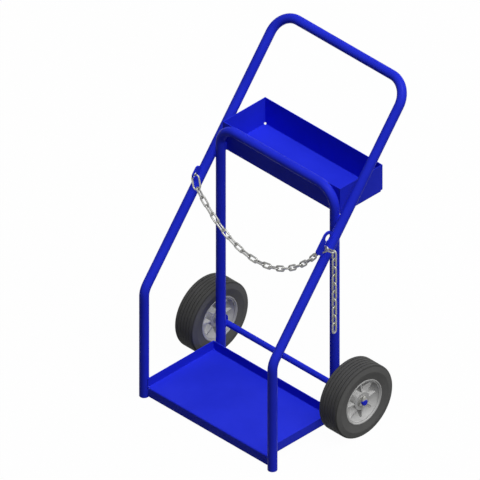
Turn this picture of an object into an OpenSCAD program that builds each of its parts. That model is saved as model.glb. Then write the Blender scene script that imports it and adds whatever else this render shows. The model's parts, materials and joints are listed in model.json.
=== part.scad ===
// Gas cylinder trolley: two bent tube frames, a base tray, a tool tray,
// two rubber-tyred wheels on a fixed axle and a retaining chain.
// X runs across the trolley, Y from front to back, Z up from the ground.
// The origin is on the ground, midway between the front feet and the handle.

/* [Tube] */
// Outer diameter of the steel tube in both frames
tube_d = 25.4; // [20:0.1:32]
// Wall of the steel tube
tube_wall = 2; // [1.2:0.1:3]

/* [Handle frame] */
// Distance between the centre lines of the two front legs
leg_span = 453.8; // [400:0.1:520]
// Height of the corner where a leg leans back into the handle
leg_h = 320.5; // [260:0.5:380]
// Lean of the handle from the vertical, in degrees
handle_lean = 38.2; // [30:0.1:45]
// Length of the leaning part, corner to corner
handle_len = 783.3; // [700:0.1:860]
// Centre line radius of the bend at the top of each leg
leg_bend_r = 50; // [35:1:80]
// Centre line radius of the two bends of the handle loop
handle_bend_r = 60; // [50:1:110]

/* [Rear frame] */
// Distance from the front legs back to the rear posts, centre to centre
post_y = 245.6; // [230:0.1:270]
// Height of the centre line of the bar on top of the rear posts
post_h = 718.4; // [690:0.1:740]
// Centre line radius of the bends between rear posts and bar
post_bend_r = 55; // [40:1:90]
// Gap between tubes, trays and plates that are welded together
weld_gap = 0.2; // [0.1:0.05:0.4]

/* [Base tray] */
// Thickness of the sheet of both trays
sheet = 2; // [1.2:0.1:3]
// Inner radius of the folds in the sheet
fold_r = 2; // [1:0.1:4]
// Height of the underside of the base tray over the ground
tray_z = 30.3; // [20:0.1:45]
// Height of the upturned side and back lips, from the underside
tray_lip = 28.1; // [18:0.1:40]
// Height of the downturned front lip, from the floor's top
tray_apron = 27.4; // [15:0.1:30]
// How far the front lip stands in front of the leg centre line
tray_front = 1; // [0:0.1:4]
// Side of the relief notch in each folded corner
relief = 6; // [5:0.1:10]

/* [Tool tray] */
// Width of the tool tray
box_w = 415; // [380:0.5:425]
// Depth of the tool tray, front to back
box_l = 150.4; // [110:0.1:180]
// Height of the tool tray's walls
box_h = 81.4; // [60:0.1:110]
// Height of the tool tray's underside over the ground
box_z = 637.7; // [610:0.1:650]

/* [Axle] */
// Diameter of the axle bar
axle_d = 15.9; // [12:0.1:20]
// How far the axle stands out beyond the middle of each split pin
axle_stub = 4.7; // [4:0.1:12]
// Width of the chamfer on the axle's ends
axle_chamfer = 1; // [0.4:0.1:2]
// Radius of the collar next to each rear post
collar_r = 18; // [14:0.5:24]
// Thickness of that collar
collar_t = 6.5; // [3:0.1:8]
// Radius of the collar's neck, which keeps the wheel off the post
neck_r = 12.5; // [11:0.1:16]
// Length of that neck
neck_len = 8.3; // [4:0.1:20]
// Radial clearance of parts fixed on the axle
axle_fit = 0.1; // [0.05:0.01:0.3]

/* [Wheels] */
// Outer diameter of a tyre
tyre_d = 203.2; // [180:0.2:230]
// Width of the flat tread
tread_w = 50; // [40:0.5:56]
// Widest part of a tyre, at a low ridge round each side wall
tyre_w = 66; // [60:0.5:72]
// Radius of that ridge
ridge_r = 84; // [78:0.5:88]
// How much narrower a tyre is next to the rim
wall_fall = 4; // [2:0.1:6]
// Radius of the rounded edge between tread and side wall
shoulder_r = 6; // [3:0.5:9]
// Distance between the fine grooves round the tread
groove_step = 9.5; // [7:0.1:11]
// Width of each fine groove
groove_w = 1.8; // [1:0.1:3]
// Depth of each fine groove
groove_depth = 1.6; // [0.8:0.1:3]
// Radius of the rim's drum, where the tyre sits
rim_r = 56; // [50:0.5:60]
// Radius of the rim's flanges
flange_r = 62.4; // [61:0.1:68]
// Thickness of the rim's flanges
flange_t = 3; // [2:0.1:5]
// Distance between the outer faces of the rim's flanges
rim_w = 60; // [56:0.5:64]
// Clearance between tyre and rim
tyre_fit = 0.1; // [0.05:0.01:0.3]
// Radius of the hub boss
boss_r = 25.3; // [20:0.1:30]
// Length of the hub boss
boss_len = 46; // [40:0.5:50]
// Thickness of the dished web at its root next to the boss
web_root = 24; // [16:0.5:30]
// Radius of the web's root
web_r = 29; // [27:0.1:34]
// Radius where the dished web turns up into the rim
dish_r = 51.5; // [45:0.1:54]
// Thickness of the web at that radius
dish_t = 42.8; // [34:0.1:48]
// Number of ribs on each side of a hub
rib_count = 8; // [4:1:12]
// Thickness of each rib
rib_t = 5; // [3:0.1:8]
// Outer radius of the bushes in the hub
bush_r = 12; // [10.5:0.1:14]
// Length of each bush inside the hub
bush_len = 20; // [12:0.5:22]
// Radius of the bush's flange
bush_flange_r = 16; // [14:0.1:22]
// Thickness of the bush's flange
bush_flange_t = 2.7; // [1.5:0.1:4]
// Radial running clearance between bush and axle
run_fit = 0.08; // [0.03:0.01:0.1]
// Clearance between bush and hub
bush_fit = 0.03; // [0.01:0.01:0.1]
// End float between bush, neck and washer
end_float = 0.3; // [0.1:0.05:0.6]

/* [Washers and split pins] */
// Outer radius of the washer outside each wheel
washer_r = 13; // [11:0.5:18]
// Thickness of that washer
washer_t = 2; // [1:0.1:3]
// Diameter of the split pin's shank
pin_d = 4; // [2.5:0.1:4.5]
// Diameter of the wire that the split pin's eye is bent from
pin_wire = 2.4; // [1.4:0.1:2.6]
// Clearance round the split pin in the axle
pin_fit = 0.2; // [0.1:0.05:0.4]
// Inner radius of the split pin's eye
pin_eye_r = 2.8; // [1.5:0.1:3.5]
// How far the shank stands out of the axle at each end
pin_out = 1.5; // [1:0.1:3]
// Length of the split pin's bent legs
pin_leg = 6; // [4:0.5:9]
// Angle of each bent leg from the shank, in degrees
pin_spread = 40; // [20:1:60]

/* [Chain plates] */
// Thickness of both chain plates
plate_t = 4; // [3:0.1:5]
// Distance up the handle of the keyhole's round end
key_up = 350.2; // [330:0.1:370]
// Height of the keyhole's round end over the tube's centre line
key_off = 27.2; // [26:0.1:32]
// Radius of the keyhole's round end
key_r = 9.8; // [9:0.1:11]
// Radius of the keyhole plate's round end
key_plate_r = 17.9; // [15:0.1:22]
// Length of the slot, from the round end's centre to the slot's end
slot_len = 44; // [36:0.1:46]
// Angle between slot and handle tube, in degrees
slot_angle = 12.5; // [10:0.5:14]
// Width of the slot
slot_w = 5.6; // [5.4:0.1:6.4]
// Steel left below the slot's end
slot_web = 3.5; // [3:0.1:8]
// Radius of the plates' outer corners
plate_corner = 8; // [4:0.5:9]
// Distance up the handle of the anchor plate's hole
anchor_up = 319.5; // [300:0.1:340]
// Height of the anchor plate's hole over the tube's centre line
anchor_off = 22.5; // [22:0.1:28]
// Radius of the anchor plate's hole
anchor_hole_r = 6.9; // [6:0.1:7.5]
// Steel left between that hole and the plate's edge
anchor_web = 3.1; // [2.4:0.1:4]
// Length of the anchor plate above its hole
anchor_top = 24.5; // [14:0.5:30]

/* [Chain] */
// Diameter of the chain's wire
wire_d = 4.8; // [4:0.1:5]
// Inner length of a link
link_l = 24.8; // [22:0.1:28]
// Inner width of a link
link_w = 6.9; // [6.2:0.1:9]
// Play between two links of one run of chain
link_play = 0.2; // [0.1:0.05:0.4]
// Play where a run that swings hangs in a link that stays put
swing_play = 0.6; // [0.3:0.05:0.8]
// Chain length as a multiple of the straight distance it bridges
chain_slack = 1.213; // [1.1:0.001:1.35]
// Inner length of the wide link on the anchor plate
anchor_l = 33; // [32:0.1:40]
// Inner width of that wide link
anchor_w = 15.6; // [14:0.1:18]
// Drop of the wide link below the horizontal, in degrees
anchor_drop = 54.8; // [50:0.1:65]
// Turn of the wide link towards the front, in degrees
anchor_turn = 28.7; // [20:0.1:35]
// Roll of the wide link about its length, in degrees
anchor_roll = 45.5; // [35:0.1:60]
// Rise of the link that sits in the slot, in degrees
lock_rise = 40; // [25:0.5:45]
// How far the middle of that link stands outside the middle of the plate
lock_out = -0.5; // [-2:0.1:1]
// Rise of the link between the slot and the hanging tail, in degrees
drape_rise = 8; // [0:0.5:15]
// Slope of the chain at the wide link, in degrees
start_slope = 51; // [40:1:65]
// Slope of the chain at the link in the slot, in degrees
end_slope = 54; // [25:1:60]
// Number of links in the hanging tail
tail_count = 10; // [2:1:14]

/* [Hidden] */

$fn = 64;
// Height and length of the ring at the end of each bend
seam_t = 0.02;
seam_l = 0.6;
paint = [0.13, 0.17, 0.78];
zinc = [0.72, 0.73, 0.74];
rubber = [0.24, 0.24, 0.24];
moulding = [0.68, 0.69, 0.7];

// Frames: the leaning part starts at the corner on top of each leg
handle_y = handle_len * sin(handle_lean);
leg_x = leg_span / 2;
leg_y = -handle_y / 2;
leg_tangent = leg_bend_r * tan(handle_lean / 2);
post_x = leg_x - tube_d - weld_gap;
rear_y = leg_y + post_y;

// Base tray between the legs, up against the rear posts
tray_w = leg_span - tube_d - 2 * weld_gap;
tray_y = leg_y - tray_front;
tray_l = rear_y - tube_d / 2 - weld_gap - tray_y;
fold = sheet + fold_r;

// Tool tray behind the rear posts
box_y = rear_y + tube_d / 2 + weld_gap;

// Axle welded to the back of the rear posts
axle_y = rear_y + tube_d / 2 + axle_d / 2 + weld_gap;
axle_z = tyre_d / 2;
collar_x = post_x + tube_d / 2 + weld_gap;
bush_face = boss_len / 2 + bush_flange_t;
wheel_x = collar_x + collar_t + neck_len + end_float + bush_face;
washer_x = wheel_x + bush_face + end_float;
pin_x = washer_x + washer_t + end_float + pin_d / 2;
axle_len = 2 * (pin_x + axle_stub);

// Keyhole plate, in the leaning plane: X up the handle, Y away from it
key = [key_up, key_off];
slot_end = key - slot_len * [cos(slot_angle), sin(slot_angle)];
plate_foot = tube_d / 2 + weld_gap;
plate_low = slot_end[0] - slot_w / 2 - slot_web;
anchor = [anchor_up, anchor_off];
anchor_edge = anchor_hole_r + anchor_web;

// Chain: half spacing of a link's two wires, joint to joint length, half the
// length between the centres of a link's bows, and how far a joint lies from
// the wire of the next link, for one run and where a swinging run hangs
wire_y = (link_w + wire_d) / 2;
pitch = link_l - link_play;
half_straight = (link_l - link_w) / 2;
hang = (wire_d + link_play) / 2;
swing_hang = (wire_d - link_play) / 2 + swing_play;

// A point in the leaning plane, as X up the handle and Y away from it
function on_handle(x, p) = [
    x,
    leg_y + p[0] * sin(handle_lean) - p[1] * cos(handle_lean),
    leg_h + p[0] * cos(handle_lean) + p[1] * sin(handle_lean)];

// Direction with a drop below the horizontal and a turn from +X
function heading(drop, turn) = [
    cos(drop) * cos(turn), cos(drop) * sin(turn), -sin(drop)];

// The part of v that lies in the plane of two square unit vectors, and the
// direction at right angles to it in that plane
function in_plane(v, a, b) =
    let (w = (v * a) * a + (v * b) * b)
    w / norm(w);
function across(v, a, b) =
    let (w = (v * a) * b - (v * b) * a)
    w / norm(w);

// Roll that sets a link which rises by a slope square to a wire along t
function square_roll(slope, t) =
    atan(-t[1] / (t[2] * cos(slope) - t[0] * sin(slope)));

// The link in the slot lies in the plane of X and the slot
slot_tilt = handle_lean - slot_angle;
slot_up = [0, sin(slot_tilt), cos(slot_tilt)];
lock_dir = cos(lock_rise) * [1, 0, 0] + sin(lock_rise) * slot_up;
lock_side = cos(lock_rise) * slot_up - sin(lock_rise) * [1, 0, 0];
slot_rest = plate_t / 2 * tan(lock_rise) + wire_d / 2 / cos(lock_rise)
    - slot_w / 2 + link_play;
lock_at = on_handle(leg_x + lock_out, slot_end)
    + (slot_rest + lock_out * tan(lock_rise) + wire_y / cos(lock_rise)) * slot_up;
drape_dir = heading(-drape_rise, 0);
drape_start = lock_at + half_straight * lock_dir
    + (wire_y - swing_hang) * drape_dir;
drape_end = drape_start + pitch * drape_dir;
tail_top = drape_end + hang * drape_dir + [0, 0, swing_hang];

// The wide link hangs in the anchor plate's hole
anchor_at = on_handle(-leg_x, anchor);
anchor_dir = heading(anchor_drop, -anchor_turn);
anchor_side = cos(anchor_roll) * heading(0, 90 - anchor_turn)
    + sin(anchor_roll) * heading(anchor_drop - 90, -anchor_turn);
anchor_bow = (anchor_w + wire_d) / 2;

// The free chain hangs between the wires of the wide link's lower bow and of
// the near bow of the link in the slot, each in line with the chain's pull
start_pull = heading(start_slope, 0);
end_pull = heading(end_slope, 180);
chain_start = anchor_at + (anchor_l + wire_d - anchor_bow) * anchor_dir
    + anchor_bow * in_plane(start_pull, anchor_dir, anchor_side);
chain_end = lock_at - half_straight * lock_dir
    + wire_y * in_plane(end_pull, lock_dir, lock_side);
start_roll = square_roll(
    -start_slope, across(start_pull, anchor_dir, anchor_side));
end_roll = square_roll(end_slope, across(end_pull, lock_dir, lock_side));
chain_gap = chain_end - chain_start;
chain_h = norm([chain_gap[0], chain_gap[1]]);
chain_v = chain_gap[2];
chain_turn = atan2(chain_gap[1], chain_gap[0]);
chain_half = round((norm(chain_gap) * chain_slack / pitch - 1) / 2);
chain_count = 2 * chain_half + 1;
chain_l = chain_count * pitch - 2 * swing_hang;

function sinh(x) = (exp(x) - exp(-x)) / 2;
function cosh(x) = (exp(x) + exp(-x)) / 2;
function asinh(x) = ln(x + sqrt(x * x + 1));
function atanh(x) = ln((1 + x) / (1 - x)) / 2;

// Catenary through both ends, by halving the range of h / 2c
function half_ratio(want, low, high, steps) =
    let (mid = (low + high) / 2)
    steps == 0 ? mid
    : sinh(mid) / mid > want ? half_ratio(want, low, mid, steps - 1)
    : half_ratio(want, mid, high, steps - 1);
sag_ratio = half_ratio(
    sqrt(chain_l * chain_l - chain_v * chain_v) / chain_h, 0.01, 6, 40);
sag_c = chain_h / 2 / sag_ratio;
sag_low = chain_h / 2 - sag_c * atanh(chain_v / chain_l);

// Horizontal distance along the chain's plane at a length s of chain
function sag_x(s) = sag_low + sag_c * asinh(s / sag_c - sinh(sag_low / sag_c));
function sag_z(x) =
    sag_c * (cosh((x - sag_low) / sag_c) - cosh(sag_low / sag_c));
function chain_joint(k) =
    let (x = sag_x(k * pitch - swing_hang))
    chain_start + [x * cos(chain_turn), x * sin(chain_turn), sag_z(x)];

// Points of an arc round a centre
function arc(centre, r, from, to, steps = 8) = [
    for (i = [0 : steps])
        let (a = from + (to - from) * i / steps)
        centre + r * [cos(a), sin(a)]];

// Moves children into the leaning plane: Z up the handle, -Y away from it
module leaning() {
    translate([0, leg_y, leg_h])
        rotate([-handle_lean, 0, 0])
            children();
}

module both_sides() {
    for (side = [0, 1])
        mirror([side, 0, 0])
            children();
}

// One bend of round bar, from +X towards +Y about the origin
module bend(d, r, angle) {
    rotate_extrude(angle = angle)
        translate([r, 0])
            circle(d = d);
}

// Bent bar that starts along +Z. Each step is a straight length and, but for
// the last, the radius, angle and direction of the bend that follows it, where
// 0 bends towards the bar's own +X and 90 towards its own +Y. A hair-thin ring
// at the end of each bend makes it one piece with the next straight.
module bent_bar(d, steps, i = 0) {
    step = steps[i];
    cylinder(d = d, h = step[0]);
    if (i < len(steps) - 1)
        translate([0, 0, step[0]])
            rotate([0, 0, step[3]]) {
                translate([step[1], 0, 0])
                    rotate([90, 0, 180])
                        bend(d, step[1], step[2]);
                translate([step[1] * (1 - cos(step[2])), 0, step[1] * sin(step[2])])
                    rotate([0, step[2], 0]) {
                        cylinder(d = d + 2 * seam_t, h = seam_l, center = true);
                        bent_bar(d, steps, i + 1);
                    }
            }
}

// Bent tube, bored right through; its first and last steps are its feet
module bent_tube(steps) {
    last = len(steps) - 1;
    bored = [
        for (i = [0 : last])
            i == 0 ? [steps[0][0] + 1, steps[0][1], steps[0][2], steps[0][3]]
            : i == last ? [steps[last][0] + 1]
            : steps[i]];
    difference() {
        bent_bar(tube_d, steps);
        translate([0, 0, -1])
            bent_bar(tube_d - 2 * tube_wall, bored);
    }
}

module handle_frame() {
    leg = leg_h - leg_tangent;
    arm = handle_len - leg_tangent - handle_bend_r;
    color(paint)
        translate([leg_x, leg_y, 0])
            bent_tube([
                [leg, leg_bend_r, handle_lean, 90],
                [arm, handle_bend_r, 90, 90],
                [leg_span - 2 * handle_bend_r, handle_bend_r, 90, 0],
                [arm, leg_bend_r, handle_lean, -90],
                [leg]]);
}

module rear_frame() {
    post = post_h - post_bend_r - tray_z;
    color(paint)
        translate([post_x, rear_y, tray_z])
            bent_tube([
                [post, post_bend_r, 90, 180],
                [2 * (post_x - post_bend_r), post_bend_r, 90, 0],
                [post]]);
}

// Cross-section of a lip folded up from a floor that runs towards +X
module lip_section(h) {
    intersection() {
        translate([fold, fold])
            difference() {
                circle(r = fold);
                circle(r = fold_r);
            }
        square([fold, fold]);
    }
    translate([0, fold])
        square([sheet, h - fold]);
}

// Lip along X, its outer face at Y = 0, notched where it meets its neighbours
module lip(length, wall_length, h) {
    rotate([90, 0, 90])
        linear_extrude(height = length - 2 * relief, center = true)
            lip_section(h);
    translate([-wall_length / 2, 0, relief])
        cube([wall_length, sheet, h - relief]);
}

// Flat floor of a folded tray, w by l, with its corners cut for the folds
module tray_floor(w, l) {
    difference() {
        translate([-w / 2 + fold, fold, 0])
            cube([w - 2 * fold, l - 2 * fold, sheet]);
        for (x = [-w / 2, w / 2 - relief], y = [0, l - relief])
            translate([x, y, -1])
                cube([relief, relief, sheet + 2]);
    }
}

module side_lips(w, l, h, wall_length, wall_y) {
    both_sides()
        translate([-w / 2, l / 2, 0])
            rotate([0, 0, -90]) {
                rotate([90, 0, 90])
                    linear_extrude(height = l - 2 * relief, center = true)
                        lip_section(h);
                translate([-wall_y - wall_length + l / 2, 0, relief])
                    cube([wall_length, sheet, h - relief]);
            }
}

module base_tray() {
    color(paint)
        translate([0, tray_y, tray_z]) {
            tray_floor(tray_w, tray_l);
            side_lips(tray_w, tray_l, tray_lip, tray_l - sheet, 0);
            translate([0, tray_l, 0])
                mirror([0, 1, 0])
                    lip(tray_w, tray_w, tray_lip);
            translate([0, 0, sheet])
                mirror([0, 0, 1])
                    lip(tray_w, tray_w, tray_apron);
        }
}

module tool_tray() {
    color(paint)
        translate([0, box_y, box_z]) {
            tray_floor(box_w, box_l);
            side_lips(box_w, box_l, box_h, box_l - 2 * sheet, sheet);
            lip(box_w, box_w, box_h);
            translate([0, box_l, 0])
                mirror([0, 1, 0])
                    lip(box_w, box_w, box_h);
        }
}

// Puts children on the axle at a distance x from the trolley's middle, with Z
// running outwards
module on_axle(side, x) {
    translate([0, axle_y, axle_z])
        mirror([side < 0 ? 1 : 0, 0, 0])
            translate([x, 0, 0])
                rotate([0, 90, 0])
                    children();
}

module ring(r, bore, h) {
    difference() {
        cylinder(r = r, h = h);
        translate([0, 0, -1])
            cylinder(r = bore, h = h + 2);
    }
}

module axle() {
    color(paint)
        difference() {
            translate([0, axle_y, axle_z])
                rotate([0, 90, 0])
                    rotate_extrude()
                        polygon([
                            [0, -axle_len / 2],
                            [axle_d / 2 - axle_chamfer, -axle_len / 2],
                            [axle_d / 2, axle_chamfer - axle_len / 2],
                            [axle_d / 2, axle_len / 2 - axle_chamfer],
                            [axle_d / 2 - axle_chamfer, axle_len / 2],
                            [0, axle_len / 2]]);
            for (side = [-1, 1])
                translate([side * pin_x, axle_y, axle_z])
                    cylinder(d = pin_d + 2 * pin_fit, h = 2 * axle_d, center = true);
        }
}

module axle_collar(side) {
    color(paint)
        on_axle(side, collar_x)
            difference() {
                union() {
                    cylinder(r = collar_r, h = collar_t);
                    cylinder(r = neck_r, h = collar_t + neck_len);
                }
                translate([0, 0, -1])
                    cylinder(
                        r = axle_d / 2 + axle_fit,
                        h = collar_t + neck_len + 2);
            }
}

module axle_washers() {
    color(zinc)
        for (side = [-1, 1])
            on_axle(side, washer_x)
                ring(washer_r, axle_d / 2 + axle_fit, washer_t);
}

// Split pin: round shank through the axle, eye on top, legs spread below
module split_pin(side) {
    reach = axle_d / 2 + pin_out;
    eye_r = pin_eye_r + pin_wire / 2;
    color(zinc)
        translate([side * pin_x, axle_y, axle_z]) {
            translate([0, 0, -reach])
                cylinder(d = pin_d, h = 2 * reach);
            translate([0, 0, reach + eye_r])
                rotate([0, 90, 0])
                    rotate_extrude()
                        translate([eye_r, 0])
                            circle(d = pin_wire);
            for (turn = [-1, 1])
                translate([0, 0, -reach])
                    rotate([turn * pin_spread, 0, 0])
                        translate([0, 0, -pin_leg])
                            cylinder(d = pin_wire, h = pin_leg + pin_wire / 2);
        }
}

// Half section of the tyre: X is the radius, Y the distance from its middle
module tyre_section() {
    r = tyre_d / 2;
    seat = rim_r + tyre_fit;
    bead = rim_w / 2 - flange_t - tyre_fit;
    wall = tyre_w / 2;
    over = flange_r + 2 * tyre_fit;
    difference() {
        polygon(concat(
            [[seat, 0], [seat, bead], [over, bead], [over, wall - wall_fall]],
            [[ridge_r - 2, wall - 0.3], [ridge_r, wall], [ridge_r + 2, wall - 0.3]],
            arc([r - shoulder_r, tread_w / 2], shoulder_r, 70, 0),
            [[r, 0]]));
        for (i = [0 : floor((tread_w / 2 - groove_w) / groove_step)])
            translate([r - groove_depth, i * groove_step - groove_w / 2])
                square([groove_depth + 1, groove_w]);
    }
}

module tyre(side) {
    color(rubber)
        on_axle(side, wheel_x)
            rotate_extrude() {
                tyre_section();
                mirror([0, 1])
                    tyre_section();
            }
}

// Half section of the hub without ribs: boss, dished web and rim
module hub_section() {
    lip_y = rim_w / 2;
    lip_x = flange_r - flange_t;
    polygon([
        [bush_r + bush_fit, 0],
        [bush_r + bush_fit, boss_len / 2],
        [boss_r - 1, boss_len / 2],
        [boss_r, boss_len / 2 - 1],
        [boss_r + 0.5, web_root / 2 + 1.5],
        [web_r, web_root / 2],
        [dish_r, dish_t / 2],
        [lip_x, lip_y],
        [flange_r, lip_y],
        [flange_r, lip_y - flange_t],
        [rim_r, lip_y - flange_t],
        [rim_r, 0]]);
}

// One rib: flush with the boss at its root, running out at the dish's edge
module hub_rib() {
    rotate([90, 0, 0])
        linear_extrude(height = rib_t, center = true)
            polygon([
                [boss_r - 2, web_root / 2 - 2],
                [boss_r - 2, boss_len / 2 - 0.5],
                [dish_r, dish_t / 2],
                [dish_r + 2, dish_t / 2 - 2]]);
}

module wheel_hub(side) {
    color(moulding)
        on_axle(side, wheel_x) {
            rotate_extrude() {
                hub_section();
                mirror([0, 1])
                    hub_section();
            }
            for (face = [0, 1], i = [0 : rib_count - 1])
                mirror([0, 0, face])
                    rotate([0, 0, i * 360 / rib_count])
                        hub_rib();
        }
}

module wheel_bushes(side) {
    bore = axle_d / 2 + run_fit;
    color(rubber)
        on_axle(side, wheel_x)
            for (face = [0, 1])
                mirror([0, 0, face])
                    difference() {
                        union() {
                            translate([0, 0, boss_len / 2 - bush_len])
                                cylinder(r = bush_r, h = bush_len + bush_flange_t);
                            translate([0, 0, boss_len / 2 + bush_fit])
                                cylinder(
                                    r = bush_flange_r,
                                    h = bush_flange_t - bush_fit);
                        }
                        translate([0, 0, boss_len / 2 - bush_len - 1])
                            cylinder(r = bore, h = bush_len + bush_flange_t + 2);
                    }
}

// Plate that stands on a handle tube, drawn with X up the handle and Y away
module handle_plate(x) {
    leaning()
        translate([x, 0, 0])
            rotate([0, -90, 180])
                linear_extrude(height = plate_t, center = true)
                    children();
}

// Quarter of a disc that rounds a plate's outer corner
module plate_quarter(at, r) {
    translate(at)
        circle(r = r);
}

// Outline of the keyhole: a round end and a slot that runs down from it
function keyhole() = let (
    mouth = asin(slot_w / 2 / key_r),
    down = slot_angle + 180)
    concat(
        arc(slot_end, slot_w / 2, down - 90, down + 90, 12),
        arc(key, key_r, down + mouth, down + 360 - mouth, 36));

module keyhole_plate() {
    top = key_off + key_plate_r;
    foot = asin((plate_foot - key_off) / key_plate_r);
    color(paint)
        handle_plate(leg_x)
            difference() {
                polygon(concat(
                    [[plate_low, plate_foot]],
                    arc([plate_low + plate_corner, top - plate_corner],
                        plate_corner, 180, 90),
                    arc(key, key_plate_r, 90, foot, 24)));
                polygon(keyhole());
            }
}

module anchor_plate() {
    low = anchor_up - anchor_edge;
    top = anchor_off + anchor_edge;
    length = anchor_edge + anchor_top;
    color(paint)
        handle_plate(-leg_x)
            difference() {
                union() {
                    translate([low, plate_foot])
                        square([length, anchor_off - plate_foot]);
                    translate([anchor_up, plate_foot])
                        square([length - anchor_edge - plate_corner, top - plate_foot]);
                    translate([anchor_up, plate_foot])
                        square([length - anchor_edge, top - plate_corner - plate_foot]);
                    translate(anchor)
                        circle(r = anchor_edge);
                    plate_quarter([low + length - plate_corner, top - plate_corner],
                        plate_corner);
                }
                translate(anchor)
                    circle(r = anchor_hole_r);
                translate([low, plate_foot - tube_d])
                    square([length, tube_d]);
            }
}

// Link along X in the XY plane, with inner length l and inner width w
module link(l, w) {
    side_y = (w + wire_d) / 2;
    straight = l - w;
    for (end = [-1, 1]) {
        translate([-straight / 2, end * side_y, 0])
            rotate([0, 90, 0])
                cylinder(d = wire_d, h = straight);
        translate([end * straight / 2, 0, 0])
            rotate([0, 0, -90 * end])
                bend(wire_d, side_y, 180);
    }
}

// Link centred between two joints, rolled about its own length
module link_between(p, q, roll) {
    d = q - p;
    translate((p + q) / 2)
        rotate([0, 0, atan2(d[1], d[0])])
            rotate([0, -atan2(d[2], norm([d[0], d[1]])), 0])
                rotate([roll, 0, 0])
                    link(link_l, link_w);
}

module anchor_link() {
    color(zinc)
        translate(anchor_at + (anchor_l + wire_d) / 2 * anchor_dir)
            rotate([0, 0, -anchor_turn])
                rotate([0, anchor_drop, 0])
                    rotate([anchor_roll, 0, 0])
                        link(anchor_l, anchor_w);
}

// Every second link of the free chain. Its roll changes along the chain, from
// square to the wide link to square to the link in the slot.
module chain_links(first, roll) {
    color(zinc)
        for (k = [first : 2 : chain_count - 1])
            link_between(
                chain_joint(k), chain_joint(k + 1),
                roll + start_roll
                    + (end_roll - start_roll) * k / (chain_count - 1));
}

module lock_link() {
    color(zinc)
        translate(lock_at)
            rotate([-slot_tilt, 0, 0])
                rotate([0, -lock_rise, 0])
                    rotate([90, 0, 0])
                        link(link_l, link_w);
}

module draped_link() {
    color(zinc)
        link_between(drape_start, drape_end, -slot_tilt / 2);
}

// Every second link of the tail, with its width along X or along Y
module tail_links(first, turn) {
    color(zinc)
        for (k = [first : 2 : tail_count - 1])
            translate(tail_top - [0, 0, (k + 0.5) * pitch])
                rotate([0, 0, turn])
                    rotate([90, 90, 0])
                        link(link_l, link_w);
}

handle_frame();
rear_frame();
base_tray();
tool_tray();
axle();
axle_collar(-1);  // axle_collar_left
axle_collar(1);  // axle_collar_right
axle_washers();
split_pin(-1);  // split_pin_left
split_pin(1);  // split_pin_right
tyre(-1);  // tyre_left
tyre(1);  // tyre_right
wheel_hub(-1);  // wheel_hub_left
wheel_hub(1);  // wheel_hub_right
wheel_bushes(-1);  // wheel_bushes_left
wheel_bushes(1);  // wheel_bushes_right
keyhole_plate();
anchor_plate();
anchor_link();
chain_links(0, 0);  // chain_links_flat
chain_links(1, 90);  // chain_links_upright
lock_link();
draped_link();
tail_links(0, 0);  // tail_links_across
tail_links(1, 90);  // tail_links_along
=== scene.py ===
"""Looks of the gas cylinder trolley: materials, wheel hubs, weld beads, studio and camera.

Everything is in metres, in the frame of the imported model: X across the
trolley, Y from the front legs back to the handle, Z up from the ground.
"""
import json
import math
import random

import bmesh
import bpy
from mathutils import Matrix, Vector


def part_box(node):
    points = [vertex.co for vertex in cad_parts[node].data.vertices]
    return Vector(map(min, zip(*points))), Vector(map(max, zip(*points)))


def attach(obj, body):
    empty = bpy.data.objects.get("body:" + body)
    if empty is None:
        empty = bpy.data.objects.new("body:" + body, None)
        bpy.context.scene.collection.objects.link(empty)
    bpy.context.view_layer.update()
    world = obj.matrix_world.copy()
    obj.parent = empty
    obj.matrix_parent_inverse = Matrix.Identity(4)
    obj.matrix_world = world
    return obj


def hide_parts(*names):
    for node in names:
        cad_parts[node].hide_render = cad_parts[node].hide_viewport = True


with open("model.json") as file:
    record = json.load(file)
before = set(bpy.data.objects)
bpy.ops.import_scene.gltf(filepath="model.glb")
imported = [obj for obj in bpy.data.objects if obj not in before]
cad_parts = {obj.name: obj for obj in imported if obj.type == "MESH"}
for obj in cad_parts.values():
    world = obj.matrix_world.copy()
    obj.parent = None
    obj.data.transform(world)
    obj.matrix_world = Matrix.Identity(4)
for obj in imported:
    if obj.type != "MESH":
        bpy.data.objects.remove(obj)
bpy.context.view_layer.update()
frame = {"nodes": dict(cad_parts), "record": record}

axle_low, axle_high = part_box("axle")
axle_mid = (axle_low + axle_high) / 2
axle_r = (axle_high.z - axle_low.z) / 2

# Materials


def new_material(name):
    """A node material with its Principled shader, as (material, tree, shader)."""
    mat = bpy.data.materials.new(name)
    mat.use_nodes = True
    tree = mat.node_tree
    tree.nodes.clear()
    out = tree.nodes.new("ShaderNodeOutputMaterial")
    shader = tree.nodes.new("ShaderNodeBsdfPrincipled")
    tree.links.new(shader.outputs[0], out.inputs[0])
    return mat, tree, shader


def add(tree, kind, **values):
    """A node with its sockets and properties set by name."""
    node = tree.nodes.new(kind)
    for key, value in values.items():
        if key in node.inputs:
            node.inputs[key].default_value = value
        else:
            setattr(node, key, value)
    return node


def calculate(tree, operation, first, second=None):
    """Result of a math node on a socket and, if there is one, a socket or number."""
    node = add(tree, "ShaderNodeMath", operation=operation)
    tree.links.new(first, node.inputs[0])
    if isinstance(second, float):
        node.inputs[1].default_value = second
    elif second is not None:
        tree.links.new(second, node.inputs[1])
    return node.outputs[0]


def coords(tree):
    """Place of the shaded point in the object, which is its place at rest."""
    return tree.nodes.new("ShaderNodeTexCoord").outputs["Object"]


def noise(tree, where, scale, detail=4.0, roughness=0.55):
    """Noise value, mostly between 0.3 and 0.7."""
    node = add(tree, "ShaderNodeTexNoise", Scale=scale, Detail=detail, Roughness=roughness)
    tree.links.new(where, node.inputs["Vector"])
    return node.outputs["Fac"]


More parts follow.
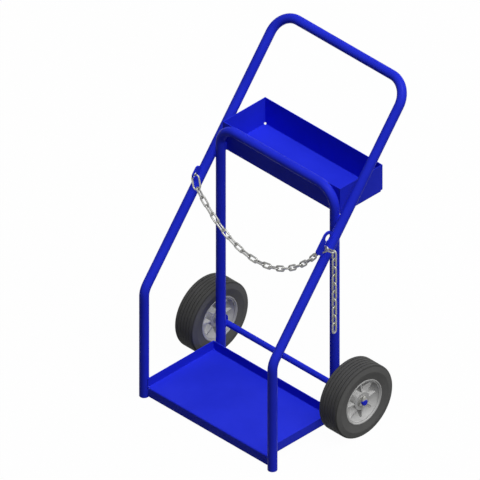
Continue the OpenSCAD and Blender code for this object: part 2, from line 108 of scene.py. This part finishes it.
def ramp(tree, value, stops):
    """Colour that follows a value between two stops, each a (position, colour)."""
    node = tree.nodes.new("ShaderNodeValToRGB")
    for element, (position, colour) in zip(node.color_ramp.elements, stops):
        element.position = position
        element.color = (*colour, 1.0)
    tree.links.new(value, node.inputs["Fac"])
    return node.outputs["Color"]


def spread(tree, value, low, high, source=(0.3, 0.7)):
    """Maps a value from the source range to the range from low to high."""
    node = add(tree, "ShaderNodeMapRange")
    for socket, number in zip(("From Min", "From Max", "To Min", "To Max"), (*source, low, high)):
        node.inputs[socket].default_value = number
    tree.links.new(value, node.inputs["Value"])
    return node.outputs["Result"]


def blend(tree, share, first, second):
    """Colour that passes from the first to the second as the share grows."""
    node = add(tree, "ShaderNodeMix", data_type="RGBA")
    tree.links.new(share, node.inputs[0])
    tree.links.new(first, node.inputs[6])
    tree.links.new(second, node.inputs[7])
    return node.outputs[2]


def bump(tree, shader, height, distance, strength, below=None):
    """Bump on a shader, over the normal of another bump if one is given."""
    node = add(tree, "ShaderNodeBump", Strength=strength, Distance=distance)
    tree.links.new(height, node.inputs["Height"])
    if below is not None:
        tree.links.new(below, node.inputs["Normal"])
    tree.links.new(node.outputs["Normal"], shader.inputs["Normal"])
    return node.outputs["Normal"]


def wheel_radius(tree, where):
    """Distance of a point from the axle's axis, in metres."""
    off = add(tree, "ShaderNodeVectorMath", operation="SUBTRACT")
    tree.links.new(where, off.inputs[0])
    off.inputs[1].default_value = (0.0, axle_mid.y, axle_mid.z)
    flat = add(tree, "ShaderNodeVectorMath", operation="MULTIPLY")
    tree.links.new(off.outputs[0], flat.inputs[0])
    flat.inputs[1].default_value = (0.0, 1.0, 1.0)
    length = add(tree, "ShaderNodeVectorMath", operation="LENGTH")
    tree.links.new(flat.outputs[0], length.inputs[0])
    return length.outputs["Value"]


def turned_rings(tree, radius, pitch):
    """Wave over the distance from the axle, with one ring for each pitch."""
    return calculate(tree, "SINE", calculate(tree, "MULTIPLY", radius, 2 * math.pi / pitch))


def paint_material():
    """Gloss blue enamel: faint cloudiness, orange peel and slightly uneven gloss."""
    mat, tree, shader = new_material("blue_enamel")
    where = coords(tree)
    cloud = noise(tree, where, scale=9.0, detail=3.0)
    blues = [(0.32, (0.0165, 0.0285, 0.640)), (0.68, (0.0205, 0.0345, 0.710))]
    tree.links.new(ramp(tree, cloud, blues), shader.inputs["Base Color"])
    gloss = noise(tree, where, scale=60.0)
    tree.links.new(spread(tree, gloss, 0.34, 0.44), shader.inputs["Roughness"])
    peel = noise(tree, where, scale=900.0, detail=1.0, roughness=0.4)
    bump(tree, shader, peel, distance=0.00002, strength=0.3)
    shader.inputs["IOR"].default_value = 1.45
    shader.inputs["Specular IOR Level"].default_value = 0.04
    return mat


def zinc_material():
    """Bright zinc plating on wire: fine grain and small dull spots."""
    mat, tree, shader = new_material("zinc_plate")
    where = coords(tree)
    patches = noise(tree, where, scale=140.0, detail=5.0, roughness=0.6)
    greys = [(0.35, (0.30, 0.30, 0.28)), (0.65, (0.44, 0.44, 0.42))]
    tree.links.new(ramp(tree, patches, greys), shader.inputs["Base Color"])
    tree.links.new(spread(tree, patches, 0.32, 0.50), shader.inputs["Roughness"])
    shader.inputs["Metallic"].default_value = 0.6
    grain = noise(tree, where, scale=900.0, detail=3.0)
    bump(tree, shader, grain, distance=0.00008, strength=0.6)
    return mat


# Radii between which a tyre's side wall passes into its tread
TREAD_EDGE = (0.0965, 0.0995)
# Radii between which the painted shade on the floor of a groove passes into the tread
GROOVE_SHADE_EDGE = (0.1003, 0.1010)
# Distance between the fine rings moulded in a side wall
WALL_RINGS = 0.0021


def rubber_material():
    """Moulded tyre rubber: matt, with greyer side walls, dust, fine moulded rings and painted
    shade on the floors of the tread's grooves.
    """
    mat, tree, shader = new_material("tyre_rubber")
    where = coords(tree)
    radius = wheel_radius(tree, where)
    dust = noise(tree, where, scale=26.0, detail=5.0, roughness=0.6)
    wall = ramp(tree, dust, [(0.3, (0.104, 0.104, 0.103)), (0.7, (0.124, 0.124, 0.122))])
    tread = ramp(tree, dust, [(0.3, (0.058, 0.058, 0.057)), (0.7, (0.072, 0.072, 0.070))])
    # Darker rubber on the floors of the grooves: painted shade in the recesses, not a different
    # rubber
    groove_shade = ramp(tree, dust, [(0.3, (0.028, 0.028, 0.028)), (0.7, (0.038, 0.038, 0.037))])
    tread_and_groove_shade = blend(tree, spread(tree, radius, 0.0, 1.0, GROOVE_SHADE_EDGE), groove_shade, tread)
    tyre = blend(tree, spread(tree, radius, 0.0, 1.0, TREAD_EDGE), wall, tread_and_groove_shade)
    tree.links.new(tyre, shader.inputs["Base Color"])
    tree.links.new(spread(tree, dust, 0.72, 0.86), shader.inputs["Roughness"])
    shader.inputs["Specular IOR Level"].default_value = 0.2
    rings = turned_rings(tree, radius, WALL_RINGS)
    ringed = bump(tree, shader, rings, distance=0.00004, strength=0.35)
    grain = noise(tree, where, scale=700.0, detail=3.0)
    bump(tree, shader, grain, distance=0.00010, strength=0.5, below=ringed)
    return mat


def moulding_material():
    """Pale grey moulded hub, satin, with faint flow marks."""
    mat, tree, shader = new_material("hub_moulding")
    where = coords(tree)
    flow = noise(tree, where, scale=34.0)
    greys = [(0.3, (0.43, 0.43, 0.425)), (0.7, (0.53, 0.53, 0.525))]
    tree.links.new(ramp(tree, flow, greys), shader.inputs["Base Color"])
    tree.links.new(spread(tree, flow, 0.38, 0.5), shader.inputs["Roughness"])
    shader.inputs["Specular IOR Level"].default_value = 0.15
    grain = noise(tree, where, scale=450.0, detail=2.0)
    bump(tree, shader, grain, distance=0.00008, strength=0.5)
    return mat


# Distance between the turning marks on a bush's face
TURNING_MARKS = 0.0007


def bush_material():
    """Grey nylon bush with a dull turned face."""
    mat, tree, shader = new_material("bush_nylon")
    where = coords(tree)
    tone = noise(tree, where, scale=90.0, detail=3.0)
    greys = [(0.3, (0.30, 0.30, 0.29)), (0.7, (0.37, 0.37, 0.36))]
    tree.links.new(ramp(tree, tone, greys), shader.inputs["Base Color"])
    tree.links.new(spread(tree, tone, 0.5, 0.62), shader.inputs["Roughness"])
    shader.inputs["Specular IOR Level"].default_value = 0.2
    marks = turned_rings(tree, wheel_radius(tree, where), TURNING_MARKS)
    bump(tree, shader, marks, distance=0.00002, strength=0.5)
    return mat


FINISH = {
    "blue_paint": paint_material(),
    "zinc_steel": zinc_material(),
    "rubber": rubber_material(),
    "hub_moulding": moulding_material(),
    "bush_plastic": bush_material(),
}
for entry in frame["record"]["subparts"]:
    for slot in frame["nodes"][entry["node"]].material_slots:
        slot.material = FINISH[entry["material_slot"]]

# Meshes and objects


def skin(bm, rings, closed=False):
    """Faces from ring to ring of vertices, with a face on both ends unless it is closed."""
    count = len(rings)
    for i in range(count if closed else count - 1):
        here, there = rings[i], rings[(i + 1) % count]
        for j in range(len(here)):
            k = (j + 1) % len(here)
            bm.faces.new((here[j], here[k], there[k], there[j]))
    if not closed:
        bm.faces.new(rings[0])
        bm.faces.new(rings[-1])


def smooth_mesh(bm, name, slot):
    """Mesh of a finished bmesh, shaded smooth, in the finish of a material slot."""
    bmesh.ops.recalc_face_normals(bm, faces=bm.faces)
    for face in bm.faces:
        face.smooth = True
    mesh = bpy.data.meshes.new(name)
    bm.to_mesh(mesh)
    bm.free()
    mesh.materials.append(FINISH[slot])
    return mesh


def show(name, data):
    """Object in the scene that shows a mesh, lamp or camera."""
    obj = bpy.data.objects.new(name, data)
    bpy.context.scene.collection.objects.link(obj)
    return obj


# Wheel hubs, deeper in the dish than the plain solids that they stand for

# Radius of the bore
BORE_R = 0.01203
# Radius and half length of the boss, and of the web where it leaves the boss
BOSS_R, BOSS_HALF = 0.0253, 0.0230
WEB_R, WEB_HALF = 0.0280, 0.0050
# Radius of the drum inside the tyre and thickness of the flanges beside it
RIM_R, LIP_T = 0.0560, 0.0030
# Small chamfers on the edges
EDGE = 0.0008
# Ribs on each face, how far out they reach, and half their thickness at foot and top
RIBS, RIB_TIP = 8, 0.0513
RIB_FOOT, RIB_TOP = 0.0028, 0.0018
# How deep a rib is sunk into boss, web and flange
SINK = 0.001
# Steps round a hub, across its dish and along a rib
TURN_STEPS, DISH_STEPS, RIB_STEPS = 96, 20, 8
# Edges that turn by more than this stay sharp
SHARP = math.radians(35)


def web_height(r, lip_r, lip_half):
    """Height of the dish over the hub's middle plane, steeper towards the lip."""
    t = (r - WEB_R) / (lip_r - WEB_R)
    return WEB_HALF + (lip_half - WEB_HALF) * (0.2 * t + 0.4 * t ** 2 + 0.4 * t ** 3)


def hub_profile(flange_r, half):
    """Closed outline of the hub without ribs, as (radius, height) points."""
    lip_r = flange_r - LIP_T
    dish_end = lip_r - EDGE / 2
    dish = [WEB_R + (dish_end - WEB_R) * i / DISH_STEPS for i in range(DISH_STEPS + 1)]
    upper = [
        (BORE_R, BOSS_HALF),
        (BOSS_R - EDGE, BOSS_HALF),
        (BOSS_R, BOSS_HALF - EDGE),
        (BOSS_R + EDGE / 2, WEB_HALF + 2 * EDGE)]
    upper += [(r, web_height(r, lip_r, half)) for r in dish]
    upper += [
        (lip_r + EDGE / 2, half),
        (flange_r - EDGE / 2, half),
        (flange_r, half - EDGE / 2),
        (flange_r, half - LIP_T),
        (RIM_R, half - LIP_T)]
    return upper + [(r, -h) for r, h in reversed(upper)]


def rib_sections(flange_r, half, face):
    """Cross-sections of a rib from the boss to its tip, as (radius, across, height)."""
    lip_r = flange_r - LIP_T
    start, end = BOSS_R - SINK, RIB_TIP + SINK
    top_from = BOSS_HALF - EDGE
    top_to = web_height(RIB_TIP, lip_r, half)
    sections = []
    for i in range(RIB_STEPS + 1):
        r = start + (end - start) * i / RIB_STEPS
        top = top_from + (top_to - top_from) * i / RIB_STEPS
        low = web_height(max(r, WEB_R), lip_r, half) - SINK
        sections.append([
            (r, -RIB_FOOT, face * low),
            (r, -RIB_TOP, face * top),
            (r, RIB_TOP, face * top),
            (r, RIB_FOOT, face * low)])
    return sections


def wheel_hub(side):
    """Turned hub with its ribs, in the place of the plain solid."""
    name = "wheel_hub_" + side
    low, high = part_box(name)
    mid = (low + high) / 2
    half = (high.x - low.x) / 2
    flange_r = (high.z - low.z) / 2
    bm = bmesh.new()

    def ring(points, turn):
        """Vertices of (radius, across, height) points at a share of a full turn."""
        angle = 2 * math.pi * turn
        verts = []
        for r, across, height in points:
            y = r * math.cos(angle) - across * math.sin(angle)
            z = r * math.sin(angle) + across * math.cos(angle)
            verts.append(bm.verts.new((mid.x + height, mid.y + y, mid.z + z)))
        return verts

    profile = [(r, 0.0, height) for r, height in hub_profile(flange_r, half)]
    skin(bm, [ring(profile, i / TURN_STEPS) for i in range(TURN_STEPS)], closed=True)
    for face in (-1, 1):
        for i in range(RIBS):
            skin(bm, [ring(section, i / RIBS) for section in rib_sections(flange_r, half, face)])
    mesh = smooth_mesh(bm, "hub_" + side, "hub_moulding")
    mesh.set_sharp_from_angle(angle=SHARP)
    obj = show("hub_" + side, mesh)
    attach(obj, "wheel_" + side)
    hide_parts(name)


for side in ("left", "right"):
    wheel_hub(side)

# Domed heads of the split pins, seated on the axle

# Half sizes of a head and the height of its middle over the axle's axis
HEAD = Vector((0.0045, 0.0076, 0.0104))
HEAD_UP = Vector((0, 0, 0.0088))
# Gap between a head and the axle
HEAD_GAP = 0.0001


def pin_head(side):
    """Rounded head over a split pin, hollowed where it sits on the axle."""
    low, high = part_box("split_pin_" + side)
    place = Vector(((low.x + high.x) / 2, axle_mid.y, axle_mid.z))
    seat_r = axle_r + HEAD_GAP
    bm = bmesh.new()
    bmesh.ops.create_uvsphere(bm, u_segments=40, v_segments=28, radius=1.0)
    for vert in bm.verts:
        point = vert.co * HEAD + HEAD_UP
        if math.hypot(point.y, point.z) < seat_r:
            point.z = math.sqrt(seat_r ** 2 - point.y ** 2)
        vert.co = point + place
    obj = show("pin_head_" + side, smooth_mesh(bm, "pin_head_" + side, "zinc_steel"))
    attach(obj, "trolley")


for side in ("left", "right"):
    pin_head(side)

# Weld beads

# Length of a ripple, rings of vertices in each, and sides of a ring
RIPPLE, RIPPLE_RINGS, BEAD_SIDES = 0.0016, 3, 10
# Swell of a ripple and its uneven part, as shares of the bead's radius
SWELL, UNEVEN = 0.10, 0.03
# Length of a bead's rounded end in radii, and the share of its section that the tip keeps
END_RUN, TIP_SHARE = 1.6, 0.02
# Length that rounding may take off a place on a path
ROUNDING = 1e-9
# Radii of the beads beside sheets and plates, and round the seats of the tubes
SHEET_BEAD, FINE_BEAD = 0.0018, 0.0015
SEAT_BEAD, CROSS_BEAD, COLLAR_BEAD = 0.0017, 0.0016, 0.0014

# Radius of the frame tubes, the handle's lean and the height where it starts to lean
TUBE = 0.0127
LEAN = math.radians(38.2)
LEG_TOP = 0.3205
# Centre lines of the right leg and the right rear post
leg_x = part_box("handle_frame")[1].x - TUBE
leg_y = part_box("handle_frame")[0].y + TUBE
post_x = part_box("rear_frame")[1].x - TUBE
post_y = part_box("rear_frame")[0].y + TUBE

base_low, base_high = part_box("base_tray")
tool_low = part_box("tool_tray")[0]
collar_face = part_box("axle_collar_right")[0].x

# Place of a bead between a tube and a sheet: beside the tube's middle and off the sheet
TUBE_ASIDE, SHEET_OFF = 0.0072, 0.0012
# Place of a bead between the leaning tube and a plate: beside the plate's middle and off
# the tube's middle
PLATE_ASIDE, PLATE_OFF = 0.0031, 0.0131
# Half width and half height of the bead where the axle lies against a post
SEAT_HALF = (0.0072, 0.0055)
# How far leaning tube and post have curved apart where the bead between them runs
CROSS_GAP = 0.0021
# Place of a collar's bead off the collar and behind the post's middle, and half its length
COLLAR_OFF, COLLAR_BEHIND, COLLAR_HALF = 0.0013, 0.0051, 0.008
# Heights of the beads beside the base tray's walls and at the ends of its front apron
WALL_RUN, APRON_RUN = (0.0320, 0.0570), (0.0062, 0.0262)
# How far the apron's beads lie in front of it
APRON_OFF = 0.0006
# Heights of the fills in the base tray's front and rear corners
FRONT_FILL, REAR_FILL = (0.0258, 0.0368), (0.0295, 0.0372)
# How far inside a corner its fill starts and ends, and the radii of its two beads
FILL_START, FILL_END = 0.0060, 0.0010
FILL_LEVEL, FILL_UPRIGHT = 0.0036, 0.0022
# Heights of the tool tray's upright beads over its underside
TOOL_RUN = (0.002, 0.024)
# Height of the beads under the rear frame's top tube, their spacing and half their length
TOP_Z, TOP_STEP, TOP_HALF = 0.7111, 0.134, 0.016
# Where beads start and end along the leaning tube: keyhole plate, and both sides of the
# anchor plate
KEYHOLE_RUN = (0.305, 0.361)
ANCHOR_OUTER_RUN, ANCHOR_INNER_RUN = (0.312, 0.342), (0.328, 0.342)

# Seeded, so that every run makes the same beads
rng = random.Random(7)


def bead(path, radius):
    """Rings of a weld bead that swells in small ripples, as (centre, direction, radius)."""
    lengths = [0.0]
    for a, b in zip(path, path[1:]):
        lengths.append(lengths[-1] + (b - a).length)
    total = lengths[-1]
    count = int(total / RIPPLE) * RIPPLE_RINGS
    rings = []
    for i in range(count + 1):
        s = total * i / count
        k = max(j for j in range(len(path) - 1) if lengths[j] <= s + ROUNDING)
        t = (s - lengths[k]) / (lengths[k + 1] - lengths[k])
        at = path[k].lerp(path[k + 1], t)
        along = (path[k + 1] - path[k]).normalized()
        swell = 1.0 + SWELL * math.cos(2 * math.pi * s / RIPPLE) + rng.uniform(-UNEVEN, UNEVEN)
        end = min(1.0, min(s, total - s) / (END_RUN * radius))
        taper = math.sqrt(max(TIP_SHARE, 1 - (1 - end) ** 2))
        rings.append((at, along, radius * swell * taper))
    return rings


def line(a, b, steps=8):
    """Points of a straight path."""
    return [Vector(a).lerp(Vector(b), i / steps) for i in range(steps + 1)]


def loop(point, steps):
    """Points of a closed path, each from its angle round the middle."""
    return [point(2 * math.pi * i / steps) for i in range(steps + 1)]


def upright(x, y, run, radius):
    """Bead that runs straight up between two heights."""
    low, high = run
    return bead(line((x, y, low), (x, y, high)), radius)


def axle_seat(side):
    """Ring where the axle lies against a rear post."""
    def point(a):
        dx, dz = SEAT_HALF[0] * math.cos(a), SEAT_HALF[1] * math.sin(a)
        on_post = post_y + math.sqrt(TUBE ** 2 - dx ** 2)
        on_axle = axle_mid.y - math.sqrt(axle_r ** 2 - dz ** 2)
        return Vector((side * post_x + dx, (on_post + on_axle) / 2, axle_mid.z + dz))
    return bead(loop(point, steps=40), SEAT_BEAD)


def cross_seat(side):
    """Ring where a leaning tube passes a rear post."""
    height = LEG_TOP + (post_y - leg_y) / math.tan(LEAN)

    def point(a):
        share = math.cos(a) ** 2 + math.cos(a + LEAN) ** 2
        r = math.sqrt(2 * TUBE * CROSS_GAP / share)
        dy, dz = r * math.cos(a), r * math.sin(a)
        inner = post_x + math.sqrt(TUBE ** 2 - dy ** 2)
        off = dy * math.cos(LEAN) - dz * math.sin(LEAN)
        outer = leg_x - math.sqrt(TUBE ** 2 - off ** 2)
        return Vector((side * (inner + outer) / 2, post_y + dy, height + dz))
    return bead(loop(point, steps=60), CROSS_BEAD)


def collar_bead(side):
    """Bead between a rear post and the axle's collar."""
    run = (axle_mid.z - COLLAR_HALF, axle_mid.z + COLLAR_HALF)
    return upright(side * (collar_face - COLLAR_OFF), post_y + COLLAR_BEHIND, run, COLLAR_BEAD)


def corner_fill(side, y, inward, run):
    """Two beads that close the relief notch in a corner of the base tray."""
    def inside(depth):
        return side * (base_high.x - depth), y + inward * depth

    middle = sum(run) / 2
    start, end = (*inside(FILL_START), middle), (*inside(FILL_END), middle)
    return [
        bead(line(start, end), FILL_LEVEL),
        upright(*inside(FILL_END), run, FILL_UPRIGHT)]


def top_bead(start_x, end_x):
    """Short bead between the tool tray's front and the tube over it."""
    y = tool_low.y - SHEET_OFF
    return bead(line((start_x, y, TOP_Z), (end_x, y, TOP_Z)), SHEET_BEAD)


def plate_bead(x, run):
    """Bead along a plate's edge on a leaning tube."""
    start, end = (
        (x,
         leg_y + up * math.sin(LEAN) - PLATE_OFF * math.cos(LEAN),
         LEG_TOP + up * math.cos(LEAN) + PLATE_OFF * math.sin(LEAN))
        for up in run)
    return bead(line(start, end), FINE_BEAD)


def side_beads(side):
    """All beads of one side, apart from those of its plate."""
    leg_wall = (side * (base_high.x + SHEET_OFF), leg_y + TUBE_ASIDE)
    apron_end = (side * base_high.x, base_low.y - APRON_OFF)
    tool_front = (side * (post_x - TUBE_ASIDE), tool_low.y - SHEET_OFF)
    tool_run = [tool_low.z + height for height in TOOL_RUN]
    beads = [
        upright(*leg_wall, WALL_RUN, SHEET_BEAD),
        upright(*apron_end, APRON_RUN, FINE_BEAD),
        axle_seat(side),
        cross_seat(side),
        collar_bead(side),
        upright(*tool_front, tool_run, SHEET_BEAD),
        top_bead(side * (TOP_STEP + TOP_HALF), side * (TOP_STEP - TOP_HALF))]
    beads += corner_fill(side, base_low.y, 1, FRONT_FILL)
    beads += corner_fill(side, base_high.y, -1, REAR_FILL)
    for edge in (-1, 1):
        rear_wall = (side * post_x + edge * TUBE_ASIDE, base_high.y + SHEET_OFF)
        beads.append(upright(*rear_wall, WALL_RUN, SHEET_BEAD))
    return beads


def weld_beads():
    """All weld beads as one piece, each a closed skin over its rings."""
    beads = side_beads(-1) + side_beads(1)
    beads.append(top_bead(-TOP_HALF, TOP_HALF))
    beads.append(plate_bead(leg_x - PLATE_ASIDE, KEYHOLE_RUN))
    beads.append(plate_bead(leg_x + PLATE_ASIDE, KEYHOLE_RUN))
    beads.append(plate_bead(-leg_x - PLATE_ASIDE, ANCHOR_OUTER_RUN))
    beads.append(plate_bead(-leg_x + PLATE_ASIDE, ANCHOR_INNER_RUN))
    angles = [2 * math.pi * i / BEAD_SIDES for i in range(BEAD_SIDES)]
    bm = bmesh.new()
    for rings in beads:
        u = rings[0][1].orthogonal()
        circles = []
        for at, along, r in rings:
            u = (u - along * u.dot(along)).normalized()
            v = along.cross(u)
            circles.append([
                bm.verts.new(at + (u * math.cos(a) + v * math.sin(a)) * r) for a in angles])
        skin(bm, circles)
    obj = show("weld_beads", smooth_mesh(bm, "weld_beads", "blue_paint"))
    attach(obj, "trolley")


weld_beads()

# Studio

# Half width of the floor
FLOOR_HALF = 8.0
# Share of the floor's picture that is plain white; the rest takes the object's shadow
FLOOR_WHITE = 0.8
WHITE = (1.0, 1.0, 1.0, 1.0)


def seen_ray(tree):
    """One for camera, glossy and transmission rays, zero for the rays that light the object."""
    path = tree.nodes.new("ShaderNodeLightPath")
    value = path.outputs["Is Camera Ray"]
    for other in ("Is Glossy Ray", "Is Transmission Ray"):
        value = calculate(tree, "MAXIMUM", value, path.outputs[other])
    return value


def mix_shaders(tree, share, first, second, out):
    """Sends a mix of two shaders to the output, more of the second as the share grows."""
    mix = tree.nodes.new("ShaderNodeMixShader")
    tree.links.new(share, mix.inputs[0])
    tree.links.new(first.outputs[0], mix.inputs[1])
    tree.links.new(second.outputs[0], mix.inputs[2])
    tree.links.new(mix.outputs[0], out.inputs[0])


def floor_material():
    """Pale floor that shows white and keeps a faint shadow of the object."""
    mat = bpy.data.materials.new("studio_floor")
    mat.use_nodes = True
    tree = mat.node_tree
    tree.nodes.clear()
    out = tree.nodes.new("ShaderNodeOutputMaterial")
    matt = add(tree, "ShaderNodeBsdfDiffuse", Color=(0.17, 0.17, 0.17, 1.0))
    white = add(tree, "ShaderNodeEmission", Color=WHITE, Strength=1.2)
    share = calculate(tree, "MULTIPLY", seen_ray(tree), FLOOR_WHITE)
    mix_shaders(tree, share, matt, white, out)
    return mat


def studio_floor():
    """Level floor on the ground."""
    mesh = bpy.data.meshes.new("studio_floor")
    sides = [(-1, -1), (1, -1), (1, 1), (-1, 1)]
    corners = [(x * FLOOR_HALF, y * FLOOR_HALF, 0) for x, y in sides]
    mesh.from_pydata(corners, [], [(0, 1, 2, 3)])
    mesh.materials.append(floor_material())
    obj = show("studio_floor", mesh)


def studio_world():
    """Weak soft light all round, with a white background behind the object."""
    world = bpy.data.worlds.new("studio_world")
    bpy.context.scene.world = world
    world.use_nodes = True
    tree = world.node_tree
    tree.nodes.clear()
    out = tree.nodes.new("ShaderNodeOutputWorld")
    soft = add(tree, "ShaderNodeBackground", Color=WHITE, Strength=0.045)
    white = add(tree, "ShaderNodeBackground", Color=WHITE, Strength=1.0)
    mix_shaders(tree, seen_ray(tree), soft, white, out)


def sun(name, source, strength, angle, shadow=True):
    """Soft distant lamp that shines from the direction of its source."""
    data = bpy.data.lights.new(name, "SUN")
    data.energy = strength
    data.angle = math.radians(angle)
    data.use_shadow = shadow
    obj = show(name, data)
    obj.rotation_euler = Vector(source).to_track_quat("Z", "Y").to_euler()


studio_floor()
studio_world()
sun("key_lamp", (0.40, 0.0, 0.92), strength=1.2, angle=50.0)
sun("fill_lamp", (0.38, 0.0, 0.92), strength=1.85, angle=10.0, shadow=False)
sun("back_lamp", (-0.2, 0.97, 0.08), strength=0.35, angle=30.0)

# Camera

# Width of the picture in the object's own metres
PICTURE_WIDTH = 1.2004
# A point between the feet of the front legs, and how far right of it and above it the
# middle of the picture lies
AIM = Vector((0.0, -0.2422, 0.0039))
AIM_RIGHT, AIM_UP = 0.0793, 0.4778
# Distance of the camera, which doesn't change the picture
STAND_OFF = 5.0


def isometric_camera():
    """Camera for the true isometric view of the photograph."""
    back = Vector((1, -1, 1)).normalized()
    right = Vector((1, 1, 0)).normalized()
    up = back.cross(right)
    data = bpy.data.cameras.new("camera")
    data.type = "ORTHO"
    data.ortho_scale = PICTURE_WIDTH
    camera = show("camera", data)
    place = Matrix((right, up, back)).transposed().to_4x4()
    place.translation = AIM + right * AIM_RIGHT + up * AIM_UP + back * STAND_OFF
    camera.matrix_world = place
    bpy.context.scene.camera = camera


isometric_camera()
bpy.context.scene.view_settings.view_transform = "Standard"
